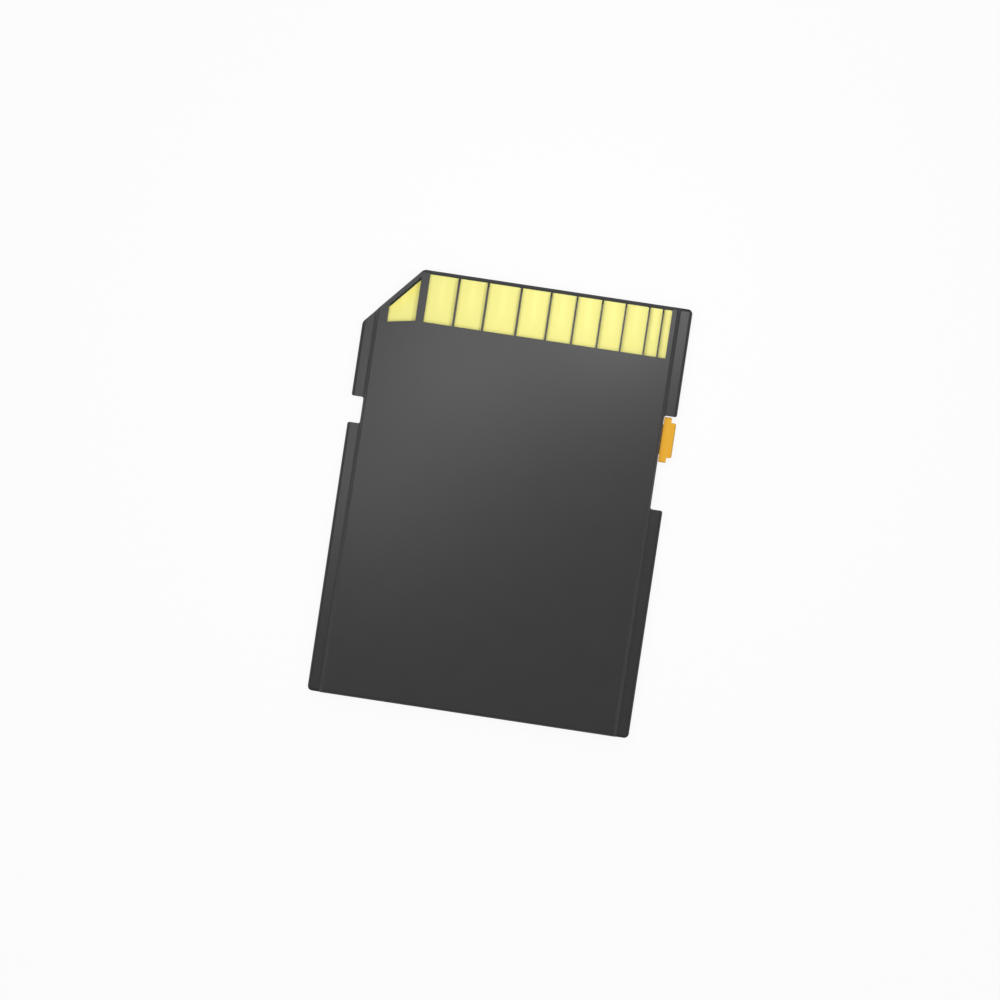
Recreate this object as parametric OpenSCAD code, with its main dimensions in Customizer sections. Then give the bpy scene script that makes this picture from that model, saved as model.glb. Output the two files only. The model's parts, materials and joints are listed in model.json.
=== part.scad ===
// Full-size flash memory card, lying on its label side with the contacts up.
// X runs across the card, +Y points to the contact end and +Z up from the label side.
// Places are given as a distance from the left edge and a distance from the contact end.

/* [Card] */
// Width of the card across the guide rails
card_w = 24; // [22:0.5:28]
// Length from the contact end to the rear end
card_l = 32; // [29:0.5:40]
// Thickness at the raised middle
card_t = 2.1; // [2:0.05:2.6]
// Thickness at the guide rails
rail_t = 1.4; // [1.3:0.05:1.5]
// Width of each guide rail up to the foot of the step
rail_w = 0.85; // [0.6:0.05:1.2]
// Width of the sloping step from a rail to the raised middle
step_run = 0.2; // [0.05:0.05:0.4]
// Radius of the card's corners
corner_r = 0.35; // [0.1:0.05:0.8]
// Bevel along the outer edges
edge_bevel = 0.1; // [0.02:0.02:0.2]

/* [Keying corner] */
// Width that the slanting corner takes off the contact end
key_w = 3.95; // [3.4:0.05:4.2]
// Length that the slanting corner takes off the left side
key_l = 4.5; // [4:0.1:5]
// Radius where the slanting corner meets the straight edges
key_r = 0.5; // [0.2:0.05:0.8]
// Thickness of the rim along the slanting corner
key_rim = 0.3; // [0.25:0.05:0.5]

/* [Side notches] */
// Distance from the contact end to the latch notch on the left
latch_start = 9.98; // [8:0.1:12]
// Length of the latch notch
latch_len = 1.97; // [1.5:0.1:3]
// Depth of the latch notch
latch_depth = 0.91; // [0.6:0.05:1]
// Distance from the contact end to the switch notch on the right
switch_start = 8.02; // [7.6:0.1:9]
// Length of the switch notch
switch_len = 6.99; // [5.5:0.1:7.5]
// Depth of the switch notch
switch_depth = 0.92; // [0.8:0.02:1]
// Radius of the notch corners
notch_r = 0.15; // [0.05:0.05:0.3]

/* [Contacts] */
// Distance from the left edge to the first window of the row
row_left = 4.45; // [4.3:0.05:4.7]
// Distance from the last window of the row to the right edge
row_right = 1.49; // [1.42:0.01:1.8]
// Widths of the ten windows, from left to right, which share out the length of the row
window_parts = [2.13, 2.02, 2.33, 2.09, 1.80, 1.77, 1.62, 1.62, 0.92, 0.59]; // [0.5:0.01:2.4]
// Width of the rib between the first two windows
first_rib = 0.15; // [0.1:0.01:0.25]
// Width of the rib between the last two windows
last_rib = 0.11; // [0.08:0.01:0.25]
// Length of the windows
window_len = 3.62; // [3:0.1:3.8]
// Width of the low lip in front of the windows
lip_w = 0.22; // [0.15:0.01:0.4]
// Height of the lip's front edge above the label side
lip_h = 1.5; // [1.45:0.05:1.7]
// Length of the slope that leads a socket's springs over the contact end
lead_in = 0.6; // [0.3:0.05:1]
// Distance from the left edge to the corner window
corner_left = 1.8; // [1.6:0.05:2.2]
// Width of the corner window
corner_window_w = 2.06; // [1.8:0.02:2.2]
// How much further the corner window reaches at its left end
corner_drop = 0.37; // [0:0.05:0.5]
// Depth of the contacts below the raised middle
contact_depth = 0.7; // [0.6:0.02:0.74]
// Thickness of a contact pad
pad_t = 0.05; // [0.04:0.01:0.08]
// How far a pad runs on under the edge of its window
pad_under = 0.04; // [0.02:0.01:0.045]

/* [Shell] */
// Thickness of the label side
floor_t = 0.35; // [0.25:0.05:0.4]
// Thickness of the raised middle's wall
roof_t = 0.4; // [0.3:0.05:0.5]
// Wall between the foot of the rail's step and the inside
side_wall = 0.45; // [0.44:0.01:0.48]
// Thickness of the rear wall
rear_wall = 1.4; // [1.1:0.1:2]
// Thickness of the front cover's wall at the contact end
front_wall = 0.8; // [0.7:0.1:1]
// Radius of the corners of the room for the board
inside_r = 0.1; // [0.05:0.01:0.12]
// Height of the joint between the two covers
joint_z = 0.7; // [0.6:0.05:0.8]
// Depth of the place for a label on the label side
label_depth = 0.1; // [0.05:0.01:0.15]
// Margin around the place for a label
label_margin = 1.5; // [1.1:0.1:3]
// Radius of the corners of the place for a label
label_r = 0.8; // [0.3:0.1:1.5]
// Width of the welding ridge on the front cover
ridge_w = 0.15; // [0.1:0.01:0.2]
// Height of the welding ridge
ridge_h = 0.1; // [0.05:0.01:0.15]
// Distance from the outer edge to the middle of the welding ridge
ridge_in = 1.1; // [1.08:0.01:1.12]
// Clearance around the ridge in its groove
ridge_gap = 0.02; // [0.01:0.01:0.03]

/* [Circuit board] */
// Thickness of the circuit board
board_t = 0.35; // [0.3:0.05:0.4]
// Clearance between the board and the covers' walls
board_gap = 0.1; // [0.04:0.02:0.15]
// Clearance between the board and the lip of the rear cover
board_lip_gap = 0.03; // [0.02:0.01:0.06]
// Diameter of the two pins that place the board
pin_d = 0.8; // [0.6:0.05:1]
// Distance from the side of the card to a pin's axis
pin_side = 3.1; // [2.9:0.1:3.4]
// Distance from the rear end to the pins' axes
pin_rear = 3.4; // [2.8:0.1:4.2]
// Radial clearance of a pin in the board
pin_gap = 0.05; // [0.03:0.01:0.1]
// Height of a pin above the board
pin_over = 0.15; // [0.05:0.05:0.25]
// Width of the ledges that carry the board
ledge_w = 0.4; // [0.3:0.05:0.5]

/* [Components] */
// Width of the memory chip
memory_w = 12; // [10:0.5:13]
// Distance between the controller chip and the memory chip
chip_gap = 2; // [1:0.1:4]
// Distance from the rear end to the memory chip
memory_rear = 2.4; // [2.2:0.1:3]
// Side of the square controller chip
controller_w = 6; // [5:0.25:6]
// Distance from the contact end to the controller chip
controller_front = 5.6; // [5.5:0.1:6]
// Distance from the left edge to the controller chip
controller_left = 4; // [3:0.25:6]
// Thickness of both chips
chip_t = 0.5; // [0.4:0.02:0.54]
// Bevel around the top of both chips
chip_bevel = 0.08; // [0.02:0.02:0.15]
// Length of a capacitor or resistor over its end caps
small_l = 1; // [0.8:0.1:1.2]
// Width of a capacitor or resistor
small_w = 0.5; // [0.4:0.05:0.6]
// Height of a capacitor
capacitor_h = 0.45; // [0.35:0.05:0.5]
// Height of a resistor
resistor_h = 0.3; // [0.25:0.05:0.4]
// Length of an end cap
cap_l = 0.22; // [0.15:0.01:0.3]
// How far an end cap stands proud of the body
cap_proud = 0.02; // [0.01:0.01:0.04]
// Spacing of the capacitors and of the resistors
small_pitch = 2; // [1.5:0.1:2.2]
// Distance from the left edge to the first capacitor and resistor
small_left = 12.5; // [11.5:0.5:13]
// Distance from the contact end to the row of capacitors
capacitor_front = 6.6; // [6:0.1:7]
// Distance from the contact end to the row of resistors
resistor_front = 9.4; // [8.6:0.1:10]

/* [Write protect switch] */
// Length of the switch's base in the notch
switch_base_l = 3.35; // [2.6:0.05:3.6]
// Length of the switch's tip
switch_tip_l = 2.6; // [1.8:0.05:3]
// Width of the base, from the notch to the tip
switch_base_w = 0.57; // [0.4:0.01:0.6]
// How far the tip stands past the side of the card
switch_proud = 0.04; // [0:0.01:0.06]
// Gap between the switch and the bottom of the notch
switch_gap = 0.03; // [0.02:0.01:0.05]
// Gap between the switch and the end of the notch
stop_gap = 0.09; // [0.04:0.01:0.15]
// How far the switch stays below the faces of the rail
switch_inset = 0.12; // [0.05:0.01:0.2]
// Radius of the tip's corners
switch_r = 0.15; // [0.05:0.05:0.25]
// Length of the neck through the wall
neck_l = 2.2; // [1.6:0.1:2.4]
// Height of the neck
neck_h = 0.4; // [0.3:0.02:0.44]
// Wall between the notch and the track
track_wall = 0.35; // [0.3:0.01:0.4]
// Width of the flange in the track
flange_w = 0.6; // [0.4:0.05:0.7]
// Length of the flange
flange_l = 3; // [2.4:0.1:3.2]
// Height of the flange
flange_h = 0.6; // [0.54:0.02:0.62]
// Width of the slit that frees the spring finger of the flange
slit_w = 0.15; // [0.1:0.01:0.2]
// Running clearance of the switch in the track
track_gap = 0.05; // [0.03:0.01:0.06]

/* [Hidden] */
ROW = len(window_parts);
CONTACTS = ROW + 1;
SMALL = 4;
CORNER_STEPS = 6;
OVER = 1;
SHELL_COLOUR = "#4c4c4e";
GOLD_COLOUR = "#f4ee97";
BOARD_COLOUR = "#1f5a38";
CHIP_COLOUR = "#1c1c1e";
SWITCH_COLOUR = "#eeb02d";
CAPACITOR_COLOUR = "#a98a5f";
RESISTOR_COLOUR = "#2b2b2d";

// Heights
pad_top = card_t - contact_depth;
board_top = pad_top - pad_t;
board_z = board_top - board_t;
roof_z = card_t - roof_t;
neck_z = joint_z - neck_h / 2;
flange_z = joint_z - flange_h / 2;

// Inside of the covers
side_in = rail_w + side_wall;
window_end = lip_w + window_len;
slab_end = window_end + 1;
key_slope = sqrt(1 / pow(key_w, 2) + 1 / pow(key_l, 2));

// Switch and track, as distances from the left edge and the contact end
notch_floor = card_w - switch_depth;
switch_left = notch_floor + switch_gap;
switch_right = card_w + switch_proud;
switch_top = switch_start + stop_gap;
switch_travel = switch_len - switch_base_l - 2 * stop_gap;
switch_mid = switch_top + switch_base_l / 2;
track_right = notch_floor - track_wall;
flange_right = track_right - track_gap;
flange_left = flange_right - flange_w;
track_left = flange_left - track_gap;
track_block_left = track_left - track_wall;
track_start = switch_mid - flange_l / 2 - stop_gap;
track_end = switch_mid + flange_l / 2 + switch_travel + stop_gap;
slot_start = switch_mid - neck_l / 2 - stop_gap;
slot_end = switch_mid + neck_l / 2 + switch_travel + stop_gap;

contact_names = [for (i = [1:CONTACTS]) str("contact_", i)];
capacitor_names = [for (i = [1:SMALL]) str("capacitor_", i)];
resistor_names = [for (i = [1:SMALL]) str("resistor_", i)];

// Arc that rounds the corner at b between a and c
function round_corner(a, b, c, r) =
    let (
        to_a = (a - b) / norm(a - b),
        to_c = (c - b) / norm(c - b),
        half = acos(to_a * to_c) / 2,
        run = r / tan(half),
        middle = b + (to_a + to_c) / norm(to_a + to_c) * r / sin(half),
        first = b + to_a * run - middle,
        last = b + to_c * run - middle,
        start = atan2(first.y, first.x),
        turn = (atan2(last.y, last.x) - start + 540) % 360 - 180
    )
    [for (i = [0:CORNER_STEPS])
        let (angle = start + turn * i / CORNER_STEPS)
        middle + r * [cos(angle), sin(angle)]];

// Outline through corners given as [from the left, from the contact end, radius]
function rounded(corners) =
    let (n = len(corners))
    [for (i = [0:n - 1])
        let (
            a = corners[(i + n - 1) % n],
            b = corners[i],
            c = corners[(i + 1) % n]
        )
        each b.z > 0
            ? round_corner([a.x, a.y], [b.x, b.y], [c.x, c.y], b.z)
            : [[b.x, b.y]]];

// The card's outline with its slanting corner and both notches
function card_outline() = rounded([
    [key_w, 0, key_r],
    [card_w, 0, corner_r],
    [card_w, switch_start, notch_r],
    [notch_floor, switch_start, notch_r],
    [notch_floor, switch_start + switch_len, notch_r],
    [card_w, switch_start + switch_len, notch_r],
    [card_w, card_l, corner_r],
    [0, card_l, corner_r],
    [0, latch_start + latch_len, notch_r],
    [latch_depth, latch_start + latch_len, notch_r],
    [latch_depth, latch_start, notch_r],
    [0, latch_start, notch_r],
    [0, key_l, key_r]
]);

// The outline without notches, moved inwards from each edge
function inner_outline(side, front, rear, slant, r) =
    let (past = 1 + slant * key_slope)
    rounded([
        [key_w * (past - front / key_l), front, r],
        [card_w - side, front, r],
        [card_w - side, card_l - rear, r],
        [side, card_l - rear, r],
        [side, key_l * (past - side / key_w), r]
    ]);

// Sum of the first count values of a list
function sum(values, count) = count == 0 ? 0 : values[count - 1] + sum(values, count - 1);

// Widths of the ribs and windows, which fill the row between its margins
rib_w = [for (i = [0:ROW - 2]) first_rib + (last_rib - first_rib) * i / (ROW - 2)];
open_w = card_w - row_left - row_right - sum(rib_w, ROW - 1);
window_w = [for (part = window_parts) part * open_w / sum(window_parts, ROW)];
function window_left(i) = row_left + sum(window_w, i) + sum(rib_w, i);

// Upright prism over an outline given from the left edge and the contact end
module prism(outline, z0, z1) {
    translate([-card_w / 2, card_l / 2, z0])
        linear_extrude(z1 - z0)
            polygon([for (p = outline) [p.x, -p.y]]);
}

// Upright block between two distances from the left edge and from the contact end
module block(left, right, front, rear, z0, z1) {
    translate([left - card_w / 2, card_l / 2 - rear, z0])
        cube([right - left, rear - front, z1 - z0]);
}

// Upright cylinder at a distance from the left edge and from the contact end
module post(left, front, d, z0, z1) {
    translate([left - card_w / 2, card_l / 2 - front, z0])
        cylinder(h = z1 - z0, d = d, $fn = 48);
}

// Bar along the whole length with a cross-section of [from the left, height]
module lengthwise(section) {
    translate([-card_w / 2, card_l / 2 + OVER, 0])
        rotate([90, 0, 0])
            linear_extrude(card_l + 2 * OVER)
                polygon(section);
}

// Bar across the whole width with a cross-section of [from the contact end, height]
module crosswise(section) {
    translate([-card_w / 2 - OVER, card_l / 2, 0])
        rotate([90, 0, 90])
            linear_extrude(card_w + 2 * OVER)
                polygon([for (p = section) [-p.x, p.y]]);
}

// Both straight stretches of the welding ridge at the sides, and the one at the rear
module welding_ridge(gap, height) {
    w = ridge_w / 2 + gap;
    side_front = switch_start + switch_len + ridge_in;
    side_rear = card_l - 2 * ridge_in;
    for (middle = [ridge_in, card_w - ridge_in])
        block(middle - w, middle + w, side_front - gap, side_rear + gap, joint_z - gap, joint_z + height);
    rear = card_l - ridge_in;
    block(2 * ridge_in - gap, card_w - 2 * ridge_in + gap, rear - w, rear + w, joint_z - gap, joint_z + height);
}

// Space that the switch's neck and flange slide in
module switch_track() {
    z0 = flange_z - track_gap;
    z1 = flange_z + flange_h + track_gap;
    block(track_left, track_right, track_start, track_end, z0, z1);
    slot_z0 = neck_z - track_gap;
    slot_z1 = neck_z + neck_h + track_gap;
    block(track_left, notch_floor + OVER, slot_start, slot_end, slot_z0, slot_z1);
}

// Solid around the track, from one height to another
module track_block(z0, z1) {
    front = track_start - track_wall;
    rear = track_end + track_wall;
    block(track_block_left, card_w - side_in + OVER / 10, front, rear, z0, z1);
}

// Outline of the window in the keying corner, grown at three sides, at a distance from the slanting edge
function corner_window(grow, slant) =
    let (
        left = corner_left - grow,
        right = corner_left + corner_window_w + grow,
        past = 1 + slant * key_slope
    )
    [
        [right, key_l * (past - right / key_w)],
        [right, window_end + grow],
        [left, window_end + corner_drop + grow],
        [left, key_l * (past - left / key_w)]
    ];

module contact_windows() {
    for (i = [0:ROW - 1])
        block(
            window_left(i), window_left(i) + window_w[i],
            lip_w, window_end,
            pad_top - OVER / 10, card_t + OVER
        );
    prism(corner_window(0, key_rim), pad_top - OVER / 10, card_t + OVER);
}

// Room over the slope that runs from the lip up the ends of the ribs
module front_slope() {
    last = ROW - 1;
    left = window_left(0);
    right = window_left(last) + window_w[last];
    climb = (card_t - lip_h) / lead_in * OVER;
    translate([left - card_w / 2, card_l / 2, 0])
        rotate([90, 0, 90])
            linear_extrude(right - left)
                polygon([
                    [OVER, lip_h - climb],
                    [OVER, card_t + climb],
                    [-lead_in - OVER, card_t + climb]
                ]);
}

// Cover on the label side, with the floor, the ledges for the board and half of the track
module front_cover() color(SHELL_COLOUR) {
    inside = inner_outline(side_in, front_wall, rear_wall, front_wall, corner_r);
    label = inner_outline(label_margin, label_margin, label_margin, label_margin, label_r);
    difference() {
        union() {
            difference() {
                intersection() {
                    prism(card_outline(), 0, joint_z);
                    lengthwise([
                        [edge_bevel, 0],
                        [card_w - edge_bevel, 0],
                        [card_w, edge_bevel],
                        [card_w, card_t],
                        [0, card_t],
                        [0, edge_bevel]
                    ]);
                    crosswise([
                        [edge_bevel, 0],
                        [card_l - edge_bevel, 0],
                        [card_l, edge_bevel],
                        [card_l, card_t],
                        [0, card_t],
                        [0, edge_bevel]
                    ]);
                }
                prism(inside, floor_t, joint_z + OVER);
                prism(label, -OVER, label_depth);
            }
            welding_ridge(0, ridge_h);
            board_ledges();
            track_block(floor_t, joint_z);
        }
        switch_track();
    }
}

// Ledges, shelf and pins on the floor that carry and place the board
module board_ledges() {
    side_gap = side_in + board_gap;
    rear_gap = rear_wall + board_gap;
    left_front = key_l + key_rim + 1;
    right_front = track_end + 2 * track_wall;
    rear = card_l - rear_gap;
    block(side_gap, side_gap + ledge_w, left_front, rear, floor_t, board_z);
    block(card_w - side_gap - ledge_w, card_w - side_gap, right_front, rear, floor_t, board_z);
    block(side_gap, card_w - side_gap, rear - ledge_w, rear, floor_t, board_z);
    shelf_left = key_w + key_rim;
    shelf_front = lip_w + board_lip_gap;
    block(shelf_left, card_w - side_gap, shelf_front, front_wall, floor_t, board_z);
    block(shelf_left, card_w - side_gap, window_end, window_end + ledge_w, floor_t, board_z);
    for (left = [pin_side, card_w - pin_side])
        post(left, card_l - pin_rear, pin_d, floor_t, board_top + pin_over);
}

// Cover on the contact side, with the rails, the raised middle and the contact windows
module rear_cover() color(SHELL_COLOUR) {
    far = card_w - rail_w;
    board_room = inner_outline(side_in, lip_w, rear_wall, key_rim, inside_r);
    difference() {
        union() {
            difference() {
                intersection() {
                    prism(card_outline(), joint_z, card_t);
                    lengthwise([
                        [0, 0],
                        [card_w, 0],
                        [card_w, rail_t - edge_bevel],
                        [card_w - edge_bevel, rail_t],
                        [far, rail_t],
                        [far - step_run, card_t - edge_bevel],
                        [far - step_run - edge_bevel, card_t],
                        [rail_w + step_run + edge_bevel, card_t],
                        [rail_w + step_run, card_t - edge_bevel],
                        [rail_w, rail_t],
                        [edge_bevel, rail_t],
                        [0, rail_t - edge_bevel]
                    ]);
                    crosswise([
                        [0, 0],
                        [card_l, 0],
                        [card_l, card_t - edge_bevel],
                        [card_l - edge_bevel, card_t],
                        [edge_bevel, card_t],
                        [0, card_t - edge_bevel]
                    ]);
                }
                prism(board_room, joint_z - OVER, pad_top);
                block(side_in, card_w - side_in, slab_end, card_l - rear_wall, pad_top - OVER / 10, roof_z);
                contact_windows();
                front_slope();
                welding_ridge(ridge_gap, ridge_h + ridge_gap);
            }
            track_block(joint_z, roof_z + OVER / 10);
            roof_ribs();
        }
        switch_track();
    }
}

// Two ribs under the raised middle that hold the board down
module roof_ribs() {
    left = side_in + board_gap + ledge_w;
    right = track_block_left - board_gap;
    for (share = [1 / 3, 2 / 3]) {
        middle = slab_end + (card_l - rear_wall - slab_end) * share;
        block(left, right, middle - ledge_w / 2, middle + ledge_w / 2, board_top, roof_z + OVER / 10);
    }
}

// Board with room for the switch's track and two holes for the pins
module circuit_board() color(BOARD_COLOUR) {
    side = side_in + board_gap;
    front = lip_w + board_lip_gap;
    outline = inner_outline(side, front, rear_wall + board_gap, key_rim + board_gap, inside_r);
    difference() {
        prism(outline, board_z, board_top);
        block(
            track_block_left - board_gap, card_w,
            track_start - track_wall - board_gap, track_end + track_wall + board_gap,
            board_z - OVER, board_top + OVER
        );
        for (left = [pin_side, card_w - pin_side])
            post(left, card_l - pin_rear, pin_d + 2 * pin_gap, board_z - OVER, board_top + OVER);
    }
}

// Contact pad 0 lies in the keying corner and the others in the row
module contact(i) color(GOLD_COLOUR) {
    if (i == 0) {
        prism(corner_window(pad_under, key_rim + board_gap + pad_under), board_top, pad_top);
    } else {
        left = window_left(i - 1);
        block(
            left - pad_under, left + window_w[i - 1] + pad_under,
            lip_w + 2 * board_lip_gap, window_end + pad_under,
            board_top, pad_top
        );
    }
}

// Flat chip package on the label side of the board, with a bevelled face
module chip(left, front, w, l) color(CHIP_COLOUR) {
    z0 = board_z - chip_t;
    intersection() {
        block(left, left + w, front, front + l, z0, board_z);
        lengthwise([
            [left, board_z],
            [left, z0 + chip_bevel],
            [left + chip_bevel, z0],
            [left + w - chip_bevel, z0],
            [left + w, z0 + chip_bevel],
            [left + w, board_z]
        ]);
        crosswise([
            [front, board_z],
            [front, z0 + chip_bevel],
            [front + chip_bevel, z0],
            [front + l - chip_bevel, z0],
            [front + l, z0 + chip_bevel],
            [front + l, board_z]
        ]);
    }
}

module memory_chip() {
    front = controller_front + controller_w + chip_gap;
    chip((card_w - memory_w) / 2, front, memory_w, card_l - memory_rear - front);
}

module controller_chip() {
    chip(controller_left, controller_front, controller_w, controller_w);
}

// Body of a capacitor or resistor with an end cap at each end
module small_part(left, front, height, shade) color(shade) {
    block(
        left + cap_proud, left + small_w - cap_proud,
        front + cap_l / 2, front + small_l - cap_l / 2,
        board_z - height + cap_proud, board_z
    );
    for (start = [front, front + small_l - cap_l])
        block(left, left + small_w, start, start + cap_l, board_z - height, board_z);
}

// Slider with a stepped grip, a neck through the wall and a flange with a spring finger
module write_protect_switch() color(SWITCH_COLOUR) {
    z0 = switch_inset;
    z1 = rail_t - switch_inset;
    tip_left = switch_left + switch_base_w;
    tip_front = switch_mid - switch_tip_l / 2;
    tip_rear = switch_mid + switch_tip_l / 2;
    base_rear = switch_top + switch_base_l;
    grip = rounded([
        [switch_left, switch_top, 0],
        [tip_left, switch_top, switch_r / 2],
        [tip_left, tip_front, 0],
        [switch_right, tip_front, switch_r],
        [switch_right, tip_rear, switch_r],
        [tip_left, tip_rear, 0],
        [tip_left, base_rear, switch_r / 2],
        [switch_left, base_rear, 0]
    ]);
    prism(grip, z0, z1);
    neck_front = switch_mid - neck_l / 2;
    neck_rear = switch_mid + neck_l / 2;
    reach = OVER / 100;
    block(flange_right - reach, switch_left + reach, neck_front, neck_rear, neck_z, neck_z + neck_h);
    flange_front = switch_mid - flange_l / 2;
    flange_rear = switch_mid + flange_l / 2;
    slit_left = flange_left + (flange_w - slit_w) / 2;
    difference() {
        block(flange_left, flange_right, flange_front, flange_rear, flange_z, flange_z + flange_h);
        block(
            slit_left, slit_left + slit_w,
            flange_front + slit_w, flange_rear + OVER,
            flange_z - OVER, flange_z + flange_h + OVER
        );
    }
}

front_cover();
rear_cover();
circuit_board();
memory_chip();
controller_chip();
write_protect_switch();
for (i = [0:CONTACTS - 1])
    contact(i);
for (i = [0:SMALL - 1]) {
    left = small_left + i * small_pitch;
    small_part(left, capacitor_front, capacitor_h, CAPACITOR_COLOUR);
    small_part(left, resistor_front, resistor_h, RESISTOR_COLOUR);
}
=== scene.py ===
# %% [markdown]
# # A full-size flash memory card, contact side up
# The card is two welded plastic covers with a circuit board between them. Eleven
# gold pads look out through windows at the contact end, and an orange switch
# slides in a notch of the right-hand side. The solids could be modelled here, but
# they come finished from the CAD model, so that every size is exact. This lesson
# is about what a camera sees: finishes, light and view.

# %% Load the card
import json
import math

import bpy
from mathutils import Matrix, Vector

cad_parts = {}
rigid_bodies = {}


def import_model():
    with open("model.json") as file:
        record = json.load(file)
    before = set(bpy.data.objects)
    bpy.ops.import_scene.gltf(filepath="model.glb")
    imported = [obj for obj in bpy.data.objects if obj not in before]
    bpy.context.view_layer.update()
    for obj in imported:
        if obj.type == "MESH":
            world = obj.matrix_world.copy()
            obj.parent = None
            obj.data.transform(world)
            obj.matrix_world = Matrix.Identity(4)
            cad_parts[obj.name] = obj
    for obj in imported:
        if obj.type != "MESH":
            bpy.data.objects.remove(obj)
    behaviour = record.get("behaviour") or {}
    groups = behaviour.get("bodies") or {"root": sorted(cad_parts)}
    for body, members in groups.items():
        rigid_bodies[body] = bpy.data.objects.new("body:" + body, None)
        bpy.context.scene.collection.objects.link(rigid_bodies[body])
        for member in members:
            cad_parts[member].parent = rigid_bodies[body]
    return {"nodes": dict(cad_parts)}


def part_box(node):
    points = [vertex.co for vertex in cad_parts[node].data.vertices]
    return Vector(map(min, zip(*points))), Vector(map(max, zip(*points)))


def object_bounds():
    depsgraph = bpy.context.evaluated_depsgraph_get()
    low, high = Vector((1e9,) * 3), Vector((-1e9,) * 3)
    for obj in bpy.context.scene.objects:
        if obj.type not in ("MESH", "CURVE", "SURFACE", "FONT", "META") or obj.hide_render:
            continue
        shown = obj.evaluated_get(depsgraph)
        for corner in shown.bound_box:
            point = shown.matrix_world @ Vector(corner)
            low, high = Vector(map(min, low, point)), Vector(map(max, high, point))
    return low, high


MM = 0.001

for leftover in list(bpy.data.objects):
    bpy.data.objects.remove(leftover)
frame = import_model()
nodes = frame["nodes"]
cad_box = [list(corner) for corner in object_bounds()]


def in_mm(box):
    """A box in metres as rounded millimetres, to print."""
    return [[round(value / MM, 3) for value in corner] for corner in box]


print("pieces", len(nodes), "CAD box in mm", in_mm(cad_box))

# %% [markdown]
# ## Sizes that the finishes need
# Blender works in metres and the card is a few millimetres, so MM turns one into
# the other. The edges of the card are read from the loaded nodes and not typed in,
# so a finish stays in place when the CAD model is changed. Only the width of a
# guide rail, which no box tells, is written down here. Every size that is typed in
# from here on is in millimetres, unless its name ends in _M.

# %% Edges of the card
RAIL = 0.85
shell_low, shell_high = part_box("rear_cover")
left, right = shell_low.x / MM, shell_high.x / MM
front = shell_high.y / MM
joint_z, top = shell_low.z / MM, shell_high.z / MM
print("card from", round(left, 2), "to", round(right, 2), "mm")
print("covers meet at", round(joint_z, 2), "mm, top at", round(top, 2), "mm")

# %% [markdown]
# ## Writing a finish as sums
# Every finish below is a small sum of patterns: a speck of noise times a weight,
# plus a line where two covers meet. Wiring such sums by hand hides the idea, so a
# small class wraps a node's output and lets Python's own + - * / build the Math
# nodes. Any other node comes from one method, which sets the node's settings
# first and then fills its inputs with numbers or links.

# %% Wire, an output that can be added and multiplied
class Wire:
    """One output of a shader node, or a bare tree to start from."""

    def __init__(self, tree, socket=None):
        self.tree = tree
        self.socket = socket

    def node(self, kind, settings=None, inputs=None, output=0):
        """Adds a node: its settings first, then numbers or wires for its inputs."""
        made = self.tree.nodes.new(kind)
        for name, value in (settings or {}).items():
            setattr(made, name, value)
        for name, value in (inputs or {}).items():
            if isinstance(value, Wire):
                self.tree.links.new(value.socket, made.inputs[name])
            else:
                made.inputs[name].default_value = value
        return Wire(self.tree, made.outputs[output] if len(made.outputs) else None)

    def math(self, operation, *others):
        values = dict(enumerate((self, *others)))
        return self.node("ShaderNodeMath", {"operation": operation}, values)

    def swapped(self, operation, other):
        """For sums such as 1 - mask, where the wire comes second."""
        return self.node("ShaderNodeMath", {"operation": operation}, {0: other, 1: self})

    def __add__(self, other):
        return self.math("ADD", other)

    def __sub__(self, other):
        return self.math("SUBTRACT", other)

    def __mul__(self, other):
        return self.math("MULTIPLY", other)

    def __truediv__(self, other):
        return self.math("DIVIDE", other)

    def __radd__(self, other):
        return self.swapped("ADD", other)

    def __rsub__(self, other):
        return self.swapped("SUBTRACT", other)

    def __rmul__(self, other):
        return self.swapped("MULTIPLY", other)

    def __rtruediv__(self, other):
        return self.swapped("DIVIDE", other)

    def __abs__(self):
        return self.math("ABSOLUTE")

    def at_least(self, other):
        return self.math("MAXIMUM", other)

    def at_most(self, other):
        return self.math("MINIMUM", other)

    def rise(self, start, end):
        """0 before start, 1 after end, with a soft step between them."""
        settings = {"interpolation_type": "SMOOTHSTEP"}
        inputs = {"Value": self, "From Min": start, "From Max": end}
        return self.node("ShaderNodeMapRange", settings, inputs)

    def band(self, middle, half, soft):
        """1 within half of middle, fading to 0 over soft."""
        return 1 - abs(self - middle).rise(half, half + soft)

    def blend(self, under, over):
        """The colour under where this wire is 0, over where it is 1."""
        inputs = {0: self, 6: under, 7: over}
        return self.node("ShaderNodeMix", {"data_type": "RGBA"}, inputs, output=2)

    def choose(self, under, over):
        """The shader under where this wire is 0, over where it is 1."""
        return self.node("ShaderNodeMixShader", None, {0: self, 1: under, 2: over})


print("a wire can", ", ".join(name for name in vars(Wire) if not name.startswith("_")))

# %% [markdown]
# ## Colours as a painter reads them
# A painter picks a colour off a screen, from 0 to 255 for red, green and blue.
# Blender mixes amounts of light instead, and screen grey 128 is only a fifth of
# the light of white. One function turns the first into the second.

# %% Paint
def paint(red, green, blue):
    """Screen values from 0 to 255 as the light values that Blender mixes."""
    def light(value):
        share = value / 255
        return share / 12.92 if share <= 0.04045 else ((share + 0.055) / 1.055) ** 2.4
    return (light(red), light(green), light(blue), 1.0)


WHITE = paint(255, 255, 255)
print("screen grey 128 is light", round(paint(128, 128, 128)[0], 3))

# %% [markdown]
# ## A place on the card
# Patterns need to know where they are. An unwrapped picture would do, but a CAD
# node's own coordinates need no unwrapping: they are metres in the frame of the
# card, so scaled by a thousand they read in millimetres, the same numbers as in
# the CAD model. The normal of a face tells how far the face leans.

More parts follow.
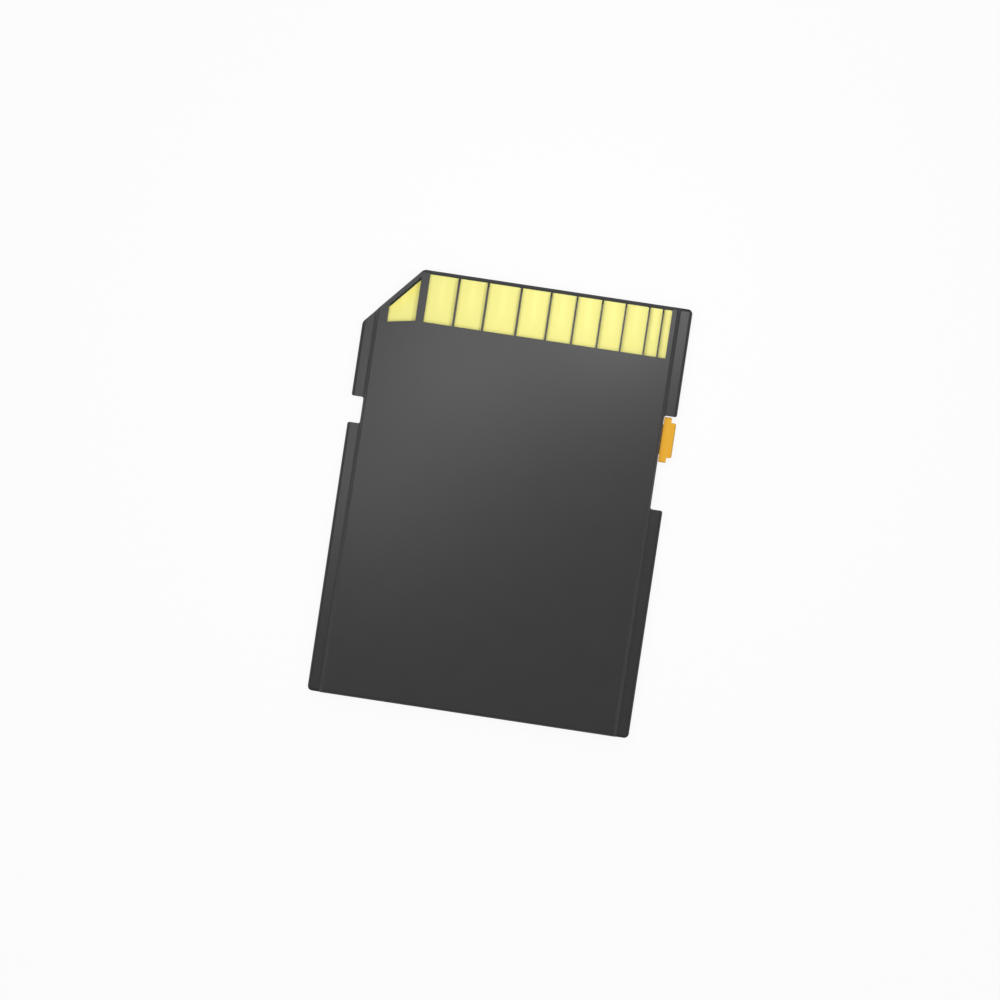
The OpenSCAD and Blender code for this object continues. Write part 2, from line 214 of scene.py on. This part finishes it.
# %% Start and end of a finish
def new_finish(name):
    """A material with an empty tree and the card's millimetres to place things by."""
    material = bpy.data.materials.new(name)
    material.use_nodes = True
    material.node_tree.nodes.clear()
    start = Wire(material.node_tree)
    metres = start.node("ShaderNodeTexCoord", output="Object")
    inputs = {0: metres, "Scale": 1 / MM}
    place = start.node("ShaderNodeVectorMath", {"operation": "SCALE"}, inputs)
    return material, place


def axes(place):
    """The three coordinates of a place as wires."""
    return [place.node("ShaderNodeSeparateXYZ", None, {0: place}, i) for i in range(3)]


def upwardness(place):
    """1 on faces that look straight up, 0 on upright ones, -1 underneath."""
    normal = place.node("ShaderNodeTexCoord", output="Normal")
    return place.node("ShaderNodeSeparateXYZ", None, {0: normal}, output=2)


def close_finish(place, name, **inputs):
    """Ends the tree in one Principled shader. Underscores in names stand for spaces."""
    sockets = {key.replace("_", " "): value for key, value in inputs.items()}
    shader = place.node("ShaderNodeBsdfPrincipled", None, sockets)
    place.node("ShaderNodeOutputMaterial", None, {"Surface": shader})
    print("finish", name, "uses", len(place.tree.nodes), "nodes")


print("patterns are placed in mm, 1 m is", round(1 / MM))

# %% [markdown]
# ## Grain, streaks and relief
# Moulded, brushed and woven surfaces all show fine uneven specks. Dents in the mesh
# would need millions of faces, so noise in the material stands for them. Noise in a
# stretched copy of the place gives long strokes instead of round specks, and a
# bump node lets the light see the same pattern as a relief.

# %% Patterns
GRAIN_PER_MM = 11.0


def stretched(place, x, y, z):
    """The place with its axes scaled, so that a pattern is drawn out or squeezed."""
    inputs = {0: place, 1: (x, y, z)}
    return place.node("ShaderNodeVectorMath", {"operation": "MULTIPLY"}, inputs)


def specks(place, per_mm, detail=3.0):
    """Noise between 0 and 1, with about per_mm specks to a millimetre."""
    inputs = {"Vector": place, "Scale": per_mm, "Detail": detail, "Roughness": 0.5}
    return place.node("ShaderNodeTexNoise", None, inputs)


def bumped(height, depth_mm, strength):
    """A normal that catches light as if the surface rose by depth_mm."""
    inputs = {"Height": height, "Distance": depth_mm * MM, "Strength": strength}
    return height.node("ShaderNodeBump", None, inputs)


print("moulded grain has", GRAIN_PER_MM, "specks to a millimetre")

# %% [markdown]
# ## The covers: satin dark grey plastic
# Both covers are moulded in one dark grey plastic. The mould is spark-eroded, which
# leaves a fine even grain, and the plastic is a little uneven in tone. The rails
# are the only part that rubs on anything, so they are a shade smoother, with
# faint scuffs along the card. Where the covers are welded a thin dark line runs
# around the sides. The outer rims of the upward faces are painted darker, as
# painted shade for the dark edges of the rounded rims. The slope from a rail to the
# raised middle is painted paler, as painted light that lifts the shade on that steep
# face, and it is rougher. A mask could be drawn for the slopes, but how far a face
# leans finds them by itself. Plastic mirrors only 3 or 4% of the light that falls
# straight on it, and its roughness blurs that to a satin sheen.

# %% Shell plastic
# How much a slope looks up, and how much faces around that still count as slopes.
SLOPE_LEAN, SLOPE_SPREAD, SLOPE_SOFT = 0.27, 0.12, 0.08
FACES_UP = (0.4, 0.8)
RIM = 0.25
SEAM, SEAM_SOFT = 0.008, 0.02
DARK_GREY, PALE_GREY = paint(45, 45, 47), paint(55, 55, 57)
# The slope grey is painted light on the steep slopes, and the rim grey is painted shade
# along the outer rims.
SLOPE_PAINTED_LIGHT_GREY, RIM_PAINTED_SHADE_GREY, SEAM_GREY = paint(96, 96, 98), paint(26, 26, 27), paint(30, 30, 31)


def shell_plastic():
    material, place = new_finish("satin shell plastic")
    x, y, z = axes(place)
    grain = specks(place, GRAIN_PER_MM, 2.0)
    mottle = specks(place, 0.5)
    scuffs = specks(stretched(place, 9.0, 0.5, 3.0), 1.0, 2.0).rise(0.52, 0.72)
    on_rail = abs(x).rise(right - RAIL - 0.1, right - RAIL + 0.05)
    scuffed = scuffs * on_rail
    up = upwardness(place)
    slope = up.band(SLOPE_LEAN, SLOPE_SPREAD, SLOPE_SOFT)
    rim_x = ((abs(x) - right + RIM) / RIM).at_least(0.0)
    rim_y = ((abs(y) - front + RIM) / RIM).at_least(0.0)
    rim = rim_x.at_least(rim_y) * up.rise(*FACES_UP)
    seam = z.band(joint_z, SEAM, SEAM_SOFT)
    tone = 0.35 * mottle + 0.35 * grain + 0.12 * scuffed
    plain = tone.blend(DARK_GREY, PALE_GREY)
    # Painted light: the slopes are painted paler than the plain plastic.
    with_painted_slope_light = slope.blend(plain, SLOPE_PAINTED_LIGHT_GREY)
    # Painted shade: the outer rims of the upward faces are painted darker.
    with_painted_rim_shade = (0.8 * rim).blend(with_painted_slope_light, RIM_PAINTED_SHADE_GREY)
    roughness = 0.32 + 0.05 * grain + 0.03 * mottle - 0.03 * on_rail + 0.4 * slope
    relief = grain + 0.3 * scuffed - 2.0 * seam - 14.0 * rim * rim
    close_finish(
        place, "shell",
        Base_Color=seam.blend(with_painted_rim_shade, SEAM_GREY),
        Specular_IOR_Level=0.43,
        Roughness=roughness,
        Normal=bumped(relief, 0.004, 0.8),
    )
    return material


shell = shell_plastic()

# %% [markdown]
# ## The contacts: pale gold plating
# The pads are copper, plated with nickel and a thin layer of pale gold. Plating
# follows the brushed copper, so fine strokes run lengthwise. A socket's spring
# wipes each pad from the contact end and leaves a faint track. One finish could
# serve all pads, but the track has to run down the middle of every one, so each
# pad gets its own, placed from the pad's box. The pad in the keyed corner is
# painted a deeper yellow towards the slanting edge, as painted shading of that edge.

# %% Gold pads
# A wiped track is placed from a pad's middle and its inner end. The slanting edge
# of the keyed corner runs as KEY_START + KEY_RISE * x.
WIPE_HALF, WIPE_SOFT = 0.12, 0.16
WIPE_START, WIPE_FULL = 1.1, 1.5
KEY_RISE, KEY_START, KEY_REACH = 0.9, 20.6, 2.6
GOLD, BRIGHT_GOLD = paint(246, 239, 139), paint(249, 243, 147)
KEY_EDGE_PAINTED_SHADING_GOLD, WIPED_GOLD = paint(253, 240, 112), paint(247, 236, 140)


def gold_plating(name):
    low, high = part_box(name)
    middle = (low.x + high.x) / 2 / MM
    material, place = new_finish("gold plating of " + name)
    x, y, z = axes(place)
    brushed = specks(stretched(place, 14.0, 0.7, 1.0), 1.0)
    cloud = specks(place, 0.9, 2.0)
    wiped = y.rise(low.y / MM + WIPE_START, low.y / MM + WIPE_FULL)
    track = x.band(middle, WIPE_HALF, WIPE_SOFT) * wiped
    plain = (0.5 * brushed + 0.5 * cloud).blend(GOLD, BRIGHT_GOLD)
    if name == "contact_1":
        # Painted shading: a deeper yellow towards the slanting edge of the keyed corner.
        key_edge_painted_shading = (y - KEY_RISE * x - KEY_START).rise(0.0, KEY_REACH)
        plain = key_edge_painted_shading.blend(plain, KEY_EDGE_PAINTED_SHADING_GOLD)
    close_finish(
        place, name,
        Base_Color=(0.25 * track).blend(plain, WIPED_GOLD),
        Metallic=0.2 + 0.05 * cloud,
        Roughness=0.52 + 0.08 * brushed - 0.05 * track,
        Normal=bumped(brushed - 0.4 * track, 0.001, 0.35),
    )
    return material


gold = {name: gold_plating(name) for name in sorted(nodes) if name.startswith("contact_")}

# %% [markdown]
# ## The switch: orange satin plastic
# The switch is a small separate moulding in a strong orange-yellow, so that a
# finger finds it. A painted highlight runs along the ridge between the base and
# the tip, and painted shade darkens the outer edges of its upper faces. Both are
# bands across its own box, which is simpler than painting them and moves with the
# switch. The same fine grain as on the covers keeps it satin.

# %% Switch plastic
RIDGE_AT = 1.52
SWITCH_RIM = 0.12
ORANGE, BRIGHT_ORANGE = paint(243, 172, 5), paint(253, 191, 12)
# The ridge colour is a painted highlight, and the rim colour is painted shade.
RIDGE_PAINTED_HIGHLIGHT_ORANGE, RIM_PAINTED_SHADE_ORANGE = paint(246, 190, 70), paint(176, 132, 24)


def switch_plastic():
    low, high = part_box("write_protect_switch")
    material, place = new_finish("orange switch plastic")
    x, y, z = axes(place)
    grain = specks(place, GRAIN_PER_MM, 2.0)
    streaks = specks(stretched(place, 6.0, 0.6, 1.0), 1.0, 2.0)
    ridge = x.band(low.x / MM + RIDGE_AT, 0.02, 0.05)
    middle = (low.y + high.y) / 2 / MM
    half = (high.y - low.y) / 2 / MM
    tip = x.rise(high.x / MM - SWITCH_RIM, high.x / MM)
    ends = abs(y - middle).rise(half - SWITCH_RIM, half)
    rim = tip.at_least(ends) * upwardness(place).rise(*FACES_UP)
    plain = (0.55 * streaks + 0.2 * grain).blend(ORANGE, BRIGHT_ORANGE)
    # Painted highlight along the ridge between the base and the tip.
    with_painted_ridge_highlight = (0.4 * ridge).blend(plain, RIDGE_PAINTED_HIGHLIGHT_ORANGE)
    close_finish(
        place, "switch",
        # Painted shade along the outer edges of the upper faces.
        Base_Color=(0.8 * rim).blend(with_painted_ridge_highlight, RIM_PAINTED_SHADE_ORANGE),
        Specular_IOR_Level=0.25,
        Roughness=0.44 + 0.08 * grain,
        Normal=bumped(grain + 0.4 * streaks, 0.002, 0.4),
    )
    return material


switch_orange = switch_plastic()

# %% [markdown]
# ## The board: green resist over copper
# A board is glass cloth in resin with copper tracks, all under green resist that
# follows the tracks as a low relief. The tracks could be thin solids, but nobody
# sees them once the covers are shut. Straight tracks at a fixed pitch, broken up by
# a coarse pattern of cells, read as wiring without copying any real layout.

# %% Board
PITCH = 0.4
TRACK_HALF, TRACK_SOFT = 0.16, 0.08
CELLS_PER_MM = 0.45
DARK_RESIST, PALE_RESIST = paint(22, 70, 42), paint(34, 92, 56)
TRACK_GREEN = paint(44, 116, 68)


def board_resist():
    material, place = new_finish("green solder resist")
    x, y, z = axes(place)
    inputs = {"Vector": place, "Scale": CELLS_PER_MM}
    cells = place.node("ShaderNodeTexVoronoi", None, inputs, output=1)
    turn = cells.node("ShaderNodeSeparateColor", None, {0: cells}).rise(0.49, 0.51)
    across, along = [
        (way / PITCH).math("FRACT").band(0.5, TRACK_HALF, TRACK_SOFT) for way in (x, y)
    ]
    tracks = turn * across + (1 - turn) * along
    weave = specks(stretched(place, 3.0, 3.0, 1.0), 2.0, 1.0)
    plain = (0.4 * weave).blend(DARK_RESIST, PALE_RESIST)
    close_finish(
        place, "board",
        Base_Color=tracks.blend(plain, TRACK_GREEN),
        Roughness=0.34 + 0.1 * weave,
        Normal=bumped(tracks + 0.2 * weave, 0.01, 0.6),
    )
    return material


board_green = board_resist()

# %% [markdown]
# ## The chips: black moulding compound
# A chip is sealed in a black compound full of glass powder, which sparkles faintly.
# A round mark in one corner shows the first pin. It could be cut into the solid,
# but on a real chip it is little more than a smoother spot, so the finish makes it:
# the distance from the mark's middle decides where the compound is smooth.

# %% Chips
MARK_INSET = 0.8
MARK_INNER, MARK_OUTER = 0.28, 0.32
COMPOUND, SPARKLE = paint(27, 27, 29), paint(44, 44, 47)


def moulding_compound(name):
    low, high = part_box(name)
    material, place = new_finish("moulding compound of " + name)
    x, y, z = axes(place)
    sparkle = specks(place, 16.0, 2.0)
    from_x = x - (low.x / MM + MARK_INSET)
    from_y = y - (high.y / MM - MARK_INSET)
    reach = (from_x * from_x + from_y * from_y).math("SQRT")
    mark = 1 - reach.rise(MARK_INNER, MARK_OUTER)
    close_finish(
        place, name,
        Base_Color=(0.6 * sparkle).blend(COMPOUND, SPARKLE),
        Roughness=0.6 - 0.25 * mark,
        Normal=bumped(sparkle - 2.0 * mark, 0.004, 0.6),
    )
    return material


chips = {name: moulding_compound(name) for name in ("memory_chip", "controller_chip")}

# %% [markdown]
# ## Capacitors and resistors
# A capacitor is a tan ceramic block and a resistor a dark one, and both wear bright
# tin caps at their ends. The caps could be pieces of their own, but they are a film
# on the block. One recipe makes both kinds: a mask along the part's longer side
# says where the caps are, and switches colour, metal and shine there.

# %% Small parts with tin caps
CAP, CAP_SOFT = 0.2, 0.04
TIN, BRIGHT_TIN = paint(176, 178, 182), paint(206, 208, 212)
BLOCKS = {
    "capacitor_": (paint(150, 118, 78), paint(184, 152, 108)),
    "resistor_": (paint(28, 28, 30), paint(46, 46, 50)),
}


def capped_block(name, dark, pale):
    low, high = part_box(name)
    middle, half = (low + high) / 2 / MM, (high - low) / 2 / MM
    material, place = new_finish("ceramic and tin of " + name)
    x, y, z = axes(place)
    if half.y >= half.x:
        run, reach = abs(y - middle.y), half.y
    else:
        run, reach = abs(x - middle.x), half.x
    cap = run.rise(reach - CAP - CAP_SOFT, reach - CAP)
    dust = specks(place, 14.0, 2.0)
    close_finish(
        place, name,
        Base_Color=cap.blend(dust.blend(dark, pale), dust.blend(TIN, BRIGHT_TIN)),
        Metallic=0.9 * cap,
        Roughness=0.62 - 0.28 * cap,
        Normal=bumped(dust, 0.003, 0.5),
    )
    return material


small_parts = {
    name: capped_block(name, *block)
    for start, block in BLOCKS.items() for name in nodes if name.startswith(start)
}

# %% [markdown]
# ## Dressing the nodes
# A CAD node keeps its mesh, and only the material in its slots changes. Moulded
# edges are never razor sharp: a bevel of a few hundredths of a millimetre gives
# each edge a thin line of light or shade. It could be cut into the mesh, but as a
# modifier it leaves the CAD shape alone. It comes after a weld that joins the
# points which the CAD export keeps apart. A split of every edge comes last,
# because without it the flat faces borrow shading from the bevels.

# %% Materials and softened edges
SOFT_EDGES = {"front_cover": 0.04, "rear_cover": 0.04, "write_protect_switch": 0.05}
WELD_REACH = 0.0002
SHARP, FLAT = math.radians(35), math.radians(1)


def soften(thing, width_mm):
    weld = thing.modifiers.new("join points", "WELD")
    weld.merge_threshold = WELD_REACH * MM
    edge = thing.modifiers.new("soft edges", "BEVEL")
    edge.width = width_mm * MM
    edge.segments = 3
    edge.limit_method = "ANGLE"
    edge.angle_limit = SHARP
    edge.use_clamp_overlap = True
    apart = thing.modifiers.new("flat faces", "EDGE_SPLIT")
    apart.split_angle = FLAT
    apart.use_edge_sharp = False


finish_of = {
    "front_cover": shell,
    "rear_cover": shell,
    "circuit_board": board_green,
    "write_protect_switch": switch_orange,
    **gold,
    **chips,
    **small_parts,
}
for name, thing in nodes.items():
    for slot in thing.material_slots:
        slot.material = finish_of[name]
for name, width_mm in SOFT_EDGES.items():
    soften(nodes[name], width_mm)
print("dressed", len(finish_of), "nodes, softened", len(SOFT_EDGES))

# %% [markdown]
# ## The table
# The card lies on a plain white table that runs out of sight. To the camera and in
# reflections the table is mostly white of its own, at a strength of 1, so that it
# stays white without more light on the card. The rest is a plain painted surface,
# which keeps the card's soft shadow. A table lit up to white would do the same, but
# the card would then be far too bright.

# %% White table
HALF_TABLE_M = 3.0
UNDER_CARD = 0.02
OWN_WHITE = 0.92
TABLE_GREY, TABLE_PALE = paint(180, 180, 180), paint(252, 252, 252)


def ray_is(start, kind):
    """1 for rays of that kind, such as Camera or Glossy, and 0 for others."""
    return start.node("ShaderNodeLightPath", output="Is " + kind + " Ray")


def table_paint():
    material, place = new_finish("white table")
    seen, gloss, through = [
        ray_is(place, kind) for kind in ("Camera", "Glossy", "Transmission")
    ]
    pale = seen.blend(TABLE_GREY, TABLE_PALE)
    matt = place.node("ShaderNodeBsdfDiffuse", None, {"Color": pale})
    white = place.node("ShaderNodeEmission", None, {"Color": WHITE, "Strength": 1.0})
    share = OWN_WHITE * (seen + gloss + through).at_most(1.0)
    surface = share.choose(matt, white)
    place.node("ShaderNodeOutputMaterial", None, {"Surface": surface})
    return material


level = cad_box[0][2] - UNDER_CARD * MM
around = ((-1, -1), (1, -1), (1, 1), (-1, 1))
corners = [(x * HALF_TABLE_M, y * HALF_TABLE_M, level) for x, y in around]
sheet = bpy.data.meshes.new("table")
sheet.from_pydata(corners, [], [(0, 1, 2, 3)])
sheet.materials.append(table_paint())
table = bpy.data.objects.new("table", sheet)
bpy.context.scene.collection.objects.link(table)
print("table is", 2 * HALF_TABLE_M, "m across,", UNDER_CARD, "mm under the card")

# %% [markdown]
# ## Light from around
# Plain white light, most of it from overhead, shows each colour about as it is
# written and reaches down into the narrow contact windows. A ring of big lamps
# could give it, but a world colour does so without noise or edges. Glossy rays
# meet a dim ceiling and pale walls instead, so that the satin plastic stays dark
# from above and takes a soft sheen in low views. The camera sees white.

# %% Surroundings
HORIZON, ZENITH = 0.16, 5.74
# The higher this power, the closer to straight overhead the light gathers.
OVERHEAD_POWER = 24.0
CEILING = 0.2
WALLS_FROM, WALLS_TO = -0.1, 0.45


def surroundings():
    world = bpy.data.worlds.new("studio")
    bpy.context.scene.world = world
    world.use_nodes = True
    world.node_tree.nodes.clear()
    start = Wire(world.node_tree)

    def glow(strength):
        inputs = {"Color": WHITE, "Strength": strength}
        return start.node("ShaderNodeBackground", None, inputs)

    way = start.node("ShaderNodeTexCoord", output="Generated")
    height = start.node("ShaderNodeSeparateXYZ", None, {0: way}, output=2)
    overhead = height.at_least(0.0).math("POWER", OVERHEAD_POWER)
    walls = 1 - height.rise(WALLS_FROM, WALLS_TO)
    glossy = ray_is(start, "Glossy")
    seen = (ray_is(start, "Camera") + ray_is(start, "Transmission")).at_most(1.0)
    white = (seen + glossy * walls).at_most(1.0)
    lit = glossy.choose(overhead.choose(glow(HORIZON), glow(ZENITH)), glow(CEILING))
    start.node("ShaderNodeOutputWorld", None, {"Surface": white.choose(lit, glow(1.0))})
    print("world uses", len(world.node_tree.nodes), "nodes")


surroundings()

# %% [markdown]
# ## Lamps for the sheen
# Satin plastic shows a lamp as a blurred patch. Three small soft lamps hang close
# over the card: by the keyed corner, by the switch side and along the left rail.
# Their patches run together into the slow fall from lighter grey at the contacts
# to darker grey at the other end. A far lamp would light the card evenly, and
# paint that fades would be wrong in every other view. The card is so small that a
# few thousandths of a watt are enough.

# %% Lamps
LEAN_X, LEAN_Y = 1.0, 1.0
towards_camera = Vector(
    (math.tan(math.radians(LEAN_X)), math.tan(math.radians(LEAN_Y)), 1.0)
)


def sheen(name, from_left, from_front, height, radius, radiance):
    """Hangs a round lamp whose reflection the camera sees at that place, in mm."""
    mirror = Vector((left + from_left, front - from_front, top))
    spot = mirror + Vector((-towards_camera.x, -towards_camera.y, 1.0)) * height
    data = bpy.data.lights.new(name, "AREA")
    data.shape = "DISK"
    data.size = 2 * radius * MM
    area = math.pi * (radius * MM) ** 2
    data.energy = math.pi * area * radiance
    lamp = bpy.data.objects.new(name, data)
    lamp.location = spot * MM
    lamp.rotation_mode = "QUATERNION"
    lamp.rotation_quaternion = (mirror - spot).to_track_quat("-Z", "Y")
    lamp.visible_camera = False
    bpy.context.scene.collection.objects.link(lamp)
    print("lamp", name, "gives", round(data.energy, 4), "W")


sheen("sheen by the keyed corner",
      from_left=7.1, from_front=4.6, height=45, radius=5.0, radiance=9.9)
sheen("sheen by the switch side",
      from_left=20.0, from_front=-1.3, height=35, radius=4.0, radiance=16.0)
sheen("sheen along the left rail",
      from_left=0.0, from_front=16.0, height=43, radius=5.0, radiance=4.8)

# %% [markdown]
# ## The view
# The photograph looks straight down on the card, which lies turned by 8.6 degrees
# in the picture. A view without perspective would do, but a long lens from far
# away keeps opposite edges just as parallel and is what a real camera has. The
# camera leans one degree to the side of the switch and one to the contact end,
# because a thin dark line of the card's sides shows there.

# %% Camera
TURN = math.radians(8.588)
FRAME_MM = 73.9
LENS, SENSOR = 300.0, 36.0
NEAREST_M, FARTHEST_M = 0.01, 20.0
data = bpy.data.cameras.new("camera")
data.lens = LENS
data.sensor_width = SENSOR
data.clip_start, data.clip_end = NEAREST_M, FARTHEST_M
camera = bpy.data.objects.new("camera", data)
bpy.context.scene.collection.objects.link(camera)
bpy.context.scene.camera = camera
away = FRAME_MM / SENSOR * LENS * MM
back = towards_camera.normalized()
across = Vector((0, 1, 0)).cross(back).normalized()
upward = back.cross(across)
side = across * math.cos(TURN) + upward * math.sin(TURN)
rise = -across * math.sin(TURN) + upward * math.cos(TURN)
spin = Matrix((side, rise, back)).transposed().to_4x4()
aim = Vector((0, 0, top / 2 * MM))
camera.matrix_world = Matrix.Translation(aim + back * away) @ spin
print("camera is", round(away, 3), "m away and leans", LEAN_X, "and", LEAN_Y, "degrees")

# %% [markdown]
# ## Plain colours
# A film curve would soften the whites and the deep greys. The Standard view shows
# light as it is, so the white of the table and the greys of the plastic come out
# as they were mixed.

# %% Finish
bpy.context.scene.view_settings.view_transform = "Standard"
